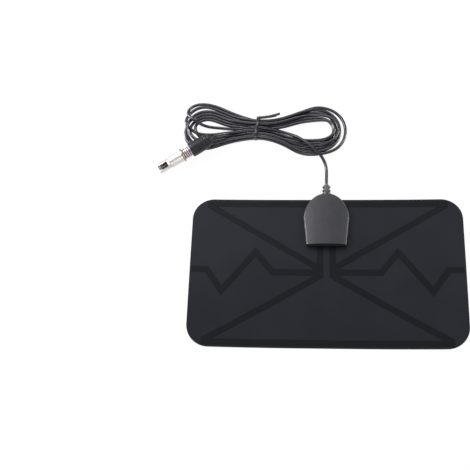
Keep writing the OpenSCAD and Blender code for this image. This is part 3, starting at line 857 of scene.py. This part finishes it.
def lamp(name, at, watts, size):
    """A square studio lamp that looks at the middle of the part."""
    light = bpy.data.lights.new(name, "AREA")
    light.energy = watts
    light.size = size
    obj = bpy.data.objects.new(name, light)
    obj.location = at
    obj.rotation_euler = (Vector(LAMPS_AIM) - obj.location).to_track_quat("-Z", "Y").to_euler()
    bpy.context.collection.objects.link(obj)


bpy.context.scene.view_settings.view_transform = "Standard"
make_camera()
cord, cord_length = make_cord()
grain_group()

# Pieces
front = film_layer("film_front_sheet", "front_film")
foil = film_layer("foil_pattern", "antenna_element")
back = film_layer("film_back_sheet", "back_film")
cover = pod_top()
base = moulding("pod_back_plate", "pod_base", edge=0.2, corner=30)
relief = moulding("relief_moulding", "strain_relief", edge=0.25, corner=40)
tie = twist_tie()
boot = moulding("boot_moulding", "plug_boot", edge=0.25, corner=30)
body = moulding("plug_body_turned", "plug_body", edge=0.1, corner=30)
shell = moulding("plug_shell_sleeve", "plug_shell", edge=0.08, corner=40)
insulator = moulding("plug_insulator_disc", "plug_insulator", edge=0.1, corner=40)
pin = moulding("plug_pin_turned", "plug_pin")
round_plug(shell, wider_slot)
round_plug(boot, fuller_boot)

# Finishes
jacket = finish("cable_jacket", (0.008, 0.008, 0.013), (0.0125, 0.0125, 0.019), 0.29, grain=1.2, depth=0.02,
                mottle=9, spread=0.12, level=0.65)
pod_plastic = finish("pod_plastic", (0.0165, 0.0167, 0.0205), (0.0225, 0.0228, 0.0275), 0.38, grain=0.9,
                     depth=0.9, mottle=7, spread=0.1, level=0.45)
back_plastic = finish("pod_back_plastic", (0.045, 0.045, 0.05), (0.06, 0.06, 0.065), 0.5, grain=0.35,
                      depth=0.3)
soft_grey = finish("relief_rubber", (0.05, 0.05, 0.055), (0.066, 0.066, 0.072), 0.5, grain=0.3, depth=0.15)
back_sheet = finish("back_film", (0.01, 0.01, 0.012), (0.014, 0.014, 0.017), 0.55, grain=0.5, depth=0.1,
                    mottle=40)
boot_rubber = finish("boot_rubber", (0.008, 0.008, 0.0115), (0.013, 0.013, 0.018), 0.42, grain=0.3, depth=0.2,
                     mottle=5, level=0.35)
tie_plastic = finish("tie_plastic", (0.008, 0.008, 0.01), (0.014, 0.014, 0.017), 0.3, grain=0.5, depth=0.1)
# The shell's darker band inside radius 4.3 mm is painted shade on its inner wall, which darkens the slot.
shell_plate = plate("shell_plate", (0.6, 0.57, 0.55), (0.7, 0.665, 0.64), 0.45,
                    tone_and_shade_bands=[(4.5, 4.3, (0.22, 0.215, 0.21))])
# The body's dark purple band below radius 4.7 mm is painted shade in its grooves; the olive band beyond
# radius 5.8 mm tones the collar's rim.
body_plate = plate("body_plate", (0.6, 0.57, 0.55), (0.7, 0.665, 0.64), 0.45,
                   tone_and_shade_bands=[(4.95, 4.7, (0.2, 0.13, 0.16)), (5.6, 5.8, (0.36, 0.34, 0.27))])
pin_plate = plate("pin_plate", (0.26, 0.25, 0.23), (0.34, 0.33, 0.3), 0.5, tone_and_shade_bands=[])
white = finish("white_insulation", (0.78, 0.77, 0.73), (0.86, 0.85, 0.82), 0.4, depth=0.05)
foil_metal = finish("rolled_foil", (0.75, 0.75, 0.77), (0.84, 0.84, 0.86), 0.3, metal=1.0, depth=0.1)
board = finish("board_mask", (0.02, 0.16, 0.06), (0.03, 0.2, 0.08), 0.3, depth=0.05)
brass = finish("rivet_brass", (0.7, 0.54, 0.26), (0.8, 0.63, 0.33), 0.28, metal=1.0, depth=0.05)
ferrite = finish("ring_ferrite", (0.05, 0.05, 0.05), (0.09, 0.085, 0.08), 0.7, depth=0.4)
enamel = finish("winding_enamel", (0.5, 0.17, 0.06), (0.62, 0.24, 0.09), 0.25, depth=0.05, metal=0.6)
ceramic = finish("chip_ceramic", (0.4, 0.33, 0.24), (0.48, 0.41, 0.31), 0.5, depth=0.1)
solder = finish("soft_solder", (0.6, 0.6, 0.62), (0.72, 0.72, 0.74), 0.3, metal=1.0, depth=0.1)
braid = finish("tinned_braid", (0.55, 0.52, 0.48), (0.68, 0.65, 0.6), 0.4, metal=1.0, grain=0.2, depth=0.6)
copper = finish("bare_copper", (0.64, 0.36, 0.22), (0.74, 0.44, 0.28), 0.3, metal=1.0, depth=0.05)

for piece, material, slot in (
        (cord, jacket, "cable_black"),
        (front, printed_film(), "film_front"),
        (foil, foil_metal, "foil"),
        (back, back_sheet, "film_back"),
        (cover, pod_plastic, "pod_grey"),
        (base, back_plastic, "pod_back_grey"),
        (relief, soft_grey, "relief_grey"),
        (tie, tie_plastic, "tie_black"),
        (boot, boot_rubber, "boot_black"),
        (body, body_plate, "nickel"),
        (shell, shell_plate, "nickel"),
        (insulator, white, "white_insulation"),
        (pin, pin_plate, "pin_plate")):
    wear(piece, material)
for node, material in (
        ("circuit_board", board),
        ("contact_rivets", brass),
        ("balun_core", ferrite),
        ("balun_windings", enamel),
        ("chip_components", ceramic),
        ("solder_joints", solder),
        ("cable_entry", jacket),
        ("coax_braid", braid),
        ("coax_dielectric", white),
        ("coax_conductor", copper)):
    NODES[node].data.materials.clear()
    NODES[node].data.materials.append(material)

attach(cord, "root")
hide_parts("cable_lead", "cable_hank")
stage()
